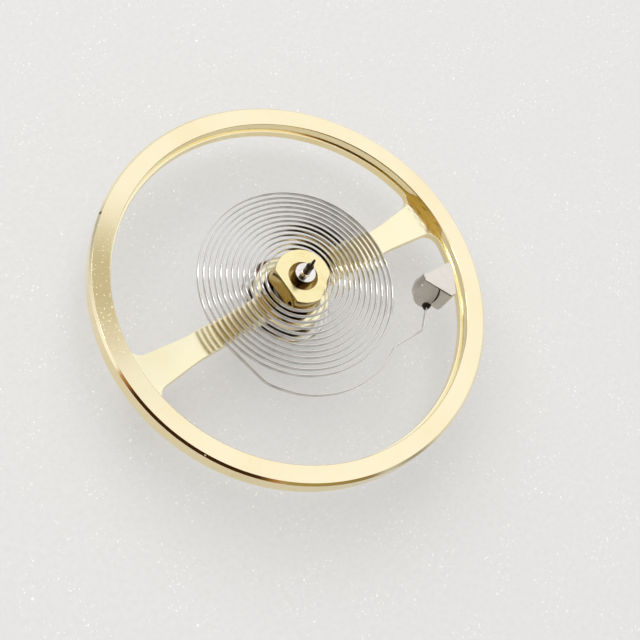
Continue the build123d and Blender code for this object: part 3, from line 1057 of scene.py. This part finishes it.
# Stud: three-sided bar with its corners cut, a half-round tapered pad, and the hole for the spring
def studOutline(offset):
    lines = []
    for index in range(3):
        lines.append((stud["angle"] + 240 + 120 * index, stud["side"] - offset))
        lines.append((stud["angle"] + 300 + 120 * index, stud["corner"] - offset))
    rounding = stud["rounding"] - offset
    points = []
    for (firstAngle, firstReach), (secondAngle, secondReach) in zip(lines, lines[1:] + lines[:1]):
        matrix = np.array([onCircle(1, firstAngle)[:2], onCircle(1, secondAngle)[:2]])
        centre = np.linalg.solve(matrix, np.array([firstReach - rounding, secondReach - rounding]))
        centre = np.array([centre[0], centre[1], 0.0]) + studCentre
        points += arcPoints(centre, rounding, firstAngle, nextAngle(secondAngle, firstAngle), 6)
    return points


def buildStud():
    edge, top, bottom, line = stud["edgeBreak"], stud["top"], stud["bottom"], stud["lineHeight"]
    side, depth, bevel, outline = stud["side"], stud["jointDepth"], stud["padBevel"], stud["padOutline"]
    levels = brokenEdge(bottom, -edge)[::-1] + [(0.0, top - edge - line)] + brokenEdge(top, edge)
    piece = loft("springStud", [lift(studOutline(offset), height) for offset, height in levels])
    mend(piece)
    front, across = onCircle(1.0, stud["angle"] + 240), onCircle(1.0, stud["angle"] + 150)

    def onPad(point, sideways=0.0, back=0.0):
        out = stud["padFoot"] - (point[1] - bottom) * stud["padSlope"] - back
        return studCentre + across * (point[0] + sideways) + front * out + upwards * point[1]

    # the pad leans out on its left, and its back lies flat inside the bar
    leftmost = max(point[0] for point in outline)
    leaning = [(point, bevel * max(0.0, point[0] / leftmost) ** 3) for point in outline]
    inside = onPad((0.0, bottom), back=stud["padFoot"] - stud["padBack"])
    back = [onPad(*place) for place in leaning]
    pad = loft("studPad", [
        [point - front * float((point - inside) @ front) for point in back],
        [onPad(*place, bevel * stud["bevelDepthShare"]) for place in leaning],
        [onPad(point) for point in outline],
    ])
    # the groove along the right edge of the pad, wider towards the foot; its floor is painted dark as shade
    shadeLine = [point for point in outline if point[0] < stud["jointEnd"]]
    strip = list(shadeLine)
    for x, z in reversed(shadeLine):
        wider = stud["jointWidth"] * (1 + stud["jointWidening"] * (top - z) / (top - bottom))
        strip.append((x - wider, z - (wider if z < stud["jointTurn"] else 0.0)))
    groove = loft("studGroove", [
        [studCentre + front * out + across * x + upwards * z for x, z in strip]
        for out in (side - depth, side + overrun)
    ])
    hole = rod("studHole", stud["holeRadius"], -stud["holeReach"], stud["holeDepth"], 48)
    lay(hole, spring["runHeading"], springEnd)
    combine(piece, pad, "UNION")
    combine(piece, groove, "DIFFERENCE")
    combine(piece, hole, "DIFFERENCE")

    def placeOf(face):  # out of the front, across it and up, from the stud's middle
        place = np.array(face.center) - studCentre
        return float(place @ front), float(place @ across), place[2]

    def isShadeLine(face):  # the floor of the groove, and a line under the top edge
        # the floor of the groove and a line under the top edge get painted shade
        out, sideways, height = placeOf(face)
        sunk = side - depth - 0.005 < out < side - 0.002 and -0.2 < sideways < 0.1
        under = top - edge - line < height and abs(out - side) < 0.002
        return height < top - edge and (sunk or under)

    def isBevel(face):  # the slope on the left of the pad
        return 0.3 < Vector(front).dot(face.normal) < 0.95 and placeOf(face)[1] > 0.3 and face.normal.z < 0.6

    markFaces(piece, "shadeLine", isShadeLine)
    markFaces(piece, "bevel", isBevel)
    dress(piece, studSteel, "stud", ["hairspring_stud"])


buildStud()

# Cement that fills the stud's hole and swells into a bead round the strip
bead = {
    "radius": 0.105,
    "distance": 0.455,
    "overlap": 0.02,
    "plugRadius": 0.075,
    "width": 1.25,
    "lengths": (1.3, 1.35),  # away from the stud and towards it
    "taper": 0.55,
    "swell": 0.03,
    "waves": 6,
    "waveScale": 1.6,
    "seed": 4,
}


def buildBead():
    shape = bmesh.new()
    bmesh.ops.create_icosphere(shape, subdivisions=4, radius=1.0)
    rng = np.random.default_rng(bead["seed"])
    waves = [(rng.normal(size=3) * bead["waveScale"], rng.uniform(0, 6.28)) for index in range(bead["waves"])]
    for vert in shape.verts:
        ray = np.array(vert.co)
        swell = sum(math.sin(float(ray @ wave) + phase) for wave, phase in waves) * bead["swell"]
        taper = 1 + bead["taper"] * min(0.0, ray[2])
        size = np.array([taper, bead["width"] * taper, bead["lengths"][int(ray[2] > 0)]])
        vert.co = Vector(ray * bead["radius"] * (1 + swell) * size)
    piece = newPiece("studCement", [], [])
    shape.to_mesh(piece.data)
    shape.free()
    heading, distance = spring["runHeading"], bead["distance"]
    lay(piece, heading, springEnd - onCircle(distance - bead["overlap"], heading))
    plug = rod("plug", bead["plugRadius"], -distance, stud["holeDepth"], 32)
    lay(plug, heading, springEnd)
    mend(piece)
    combine(piece, plug, "UNION")
    dress(piece, darkCement, "stud", ["stud_cement"], 60.0)


buildBead()
print("stud done")

# Floor, light and camera
floorLook = {
    "size": 0.6,
    "height": -0.000005,
    "glow": 0.985,
    "glowShare": 0.36,
    "bright": (0.805, 0.8, 0.79),
    "dull": (0.778, 0.773, 0.762),
    "glint": (1.0, 1.0, 0.99),
    "grainScale": 7000.0,
    "clusterScale": 900.0,
    "glintScale": 13000.0,
}


def buildFloor(look):
    half = look["size"] / 2
    corners = ((-half, -half), (half, -half), (half, half), (-half, half))
    floor = newPiece("floor", [(*corner, look["height"]) for corner in corners], [(0, 1, 2, 3)])
    finish = Finish("paleFloor")
    grain = finish.noise(look["grainScale"], 3.0, 0.6)
    clusters = finish.ramp(finish.noise(look["clusterScale"], 2.0, 0.6), 0.46, 0.6)
    glint = clusters * finish.ramp(finish.noise(look["glintScale"], 1.0, 0.5), 0.645, 0.72)
    colour = finish.mix(look["dull"], look["bright"], finish.ramp(grain, 0.3, 0.62))
    colour = finish.mix(colour, look["glint"], glint)
    lit = finish.node("ShaderNodeBsdfPrincipled", {
        "Base Color": colour,
        "Roughness": 0.55,
        "Specular IOR Level": 0.2,
        "Normal": finish.bump(grain, 0.2, 1e-5),
    })
    white = finish.node("ShaderNodeEmission", {"Color": colour, "Strength": look["glow"]})
    share = finish.seen() * look["glowShare"]
    shader = finish.node("ShaderNodeMixShader", {0: share, 1: lit, 2: white})
    finish.node("ShaderNodeOutputMaterial", {"Surface": shader})
    floor.data.materials.append(finish.material)


buildFloor(floorLook)

# Directions are azimuth and height. Each lamp has its direction, that of its long side, its width and length,
# distance and power. The softbox lights the scene, and the two narrow ones only glint in the metal.
lamps = {
    "softBox": ((90.0, 59.0), (197.7, 59.8), (0.34, 0.34), 0.25, 0.58, False),
    "keyBox": ((110.0, 40.0), (92.0, 58.1), (0.012, 0.066), 0.12, 0.016, True),
    "sideBox": ((138.0, 43.0), (125.6, 60.3), (0.009, 0.066), 0.12, 0.014, True),
}
world = {
    "light": 0.52,
    "sky": 1.04,
    "horizon": 0.55,
    "horizonFade": (0.3, 0.04),
    "plain": (1.0, 0.99, 0.98),
    # what the metal mirrors: direction, inner and outer angle, colour, each over the ones before
    "shades": [
        ((266.0, 20.0), 17.0, 25.0, (0.36, 0.27, 0.1)),
        ((150.0, 62.0), 13.0, 16.5, (0.56, 0.41, 0.14)),
        ((204.0, 33.0), 38.0, 41.0, (0.42, 0.19, 0.04)),
        ((205.0, 33.0), 31.0, 36.0, (0.04, 0.012, 0.002)),
        ((170.0, 61.0), 17.5, 19.5, (0.5, 0.37, 0.13)),
        ((306.0, 17.0), 13.0, 19.0, (0.33, 0.25, 0.1)),
        ((35.8, 65.2), 1.0, 5.5, (0.85, 0.845, 0.84)),
    ],
}


def direction(azimuth, height):
    return Vector(onCircle(math.cos(math.radians(height)), azimuth, math.sin(math.radians(height))))


def buildLamp(name, place, longSide, size, distance, power, glints):
    lamp = bpy.data.lights.new(name, "AREA")
    lamp.shape = "RECTANGLE"
    lamp.size, lamp.size_y = size
    lamp.energy = power
    box = bpy.data.objects.new(name, lamp)
    scene.collection.objects.link(box)
    facing, long = direction(*place), direction(*longSide)
    long = (long - facing * long.dot(facing)).normalized()
    box.location = facing * distance
    box.rotation_euler = Matrix((long.cross(facing), long, facing)).transposed().to_euler()
    box.visible_glossy = glints
    box.visible_diffuse = not glints


def buildWorld():
    scene.world = bpy.data.worlds.new("studio")
    scene.world.use_nodes = True
    board = Board(scene.world.node_tree)
    board.tree.nodes.clear()
    ray = board.node("ShaderNodeTexCoord")
    room = world["plain"]
    for place, inner, outer, shade in world["shades"]:
        sockets = {0: ray, 1: tuple(direction(*place))}
        near = board.node("ShaderNodeVectorMath", sockets, out=1, operation="DOT_PRODUCT")
        share = board.ramp(near, math.cos(math.radians(outer)), math.cos(math.radians(inner)))
        room = board.mix(room, shade, share)
    height = board.node("ShaderNodeSeparateXYZ", {0: ray}, out=2)
    sky = world["sky"] * (1 - world["horizon"] * board.ramp(height, *world["horizonFade"]))
    seen = board.seen()
    strength = world["light"] + (sky - world["light"]) * seen
    colour = board.mix(world["plain"], room, seen)
    shader = board.node("ShaderNodeBackground", {"Color": colour, "Strength": strength})
    board.node("ShaderNodeOutputWorld", {"Surface": shader})


for lampName, look in lamps.items():
    buildLamp(lampName, *look)
buildWorld()

view = {
    "place": (-0.01609411, -0.00615011, 0.03090865),
    "turn": (24.41267186, -18.4526616, -37.41599858),
    "lens": 78.41518,
    "near": 0.001,
    "far": 2.0,
}
camera = bpy.data.cameras.new("camera")
camera.lens = view["lens"]
camera.clip_start, camera.clip_end = view["near"], view["far"]
cameraObject = bpy.data.objects.new("camera", camera)
scene.collection.objects.link(cameraObject)
cameraObject.location = view["place"]
cameraObject.rotation_euler = [math.radians(angle) for angle in view["turn"]]
scene.camera = cameraObject
scene.view_settings.view_transform = "Standard"
print("stage and camera done")
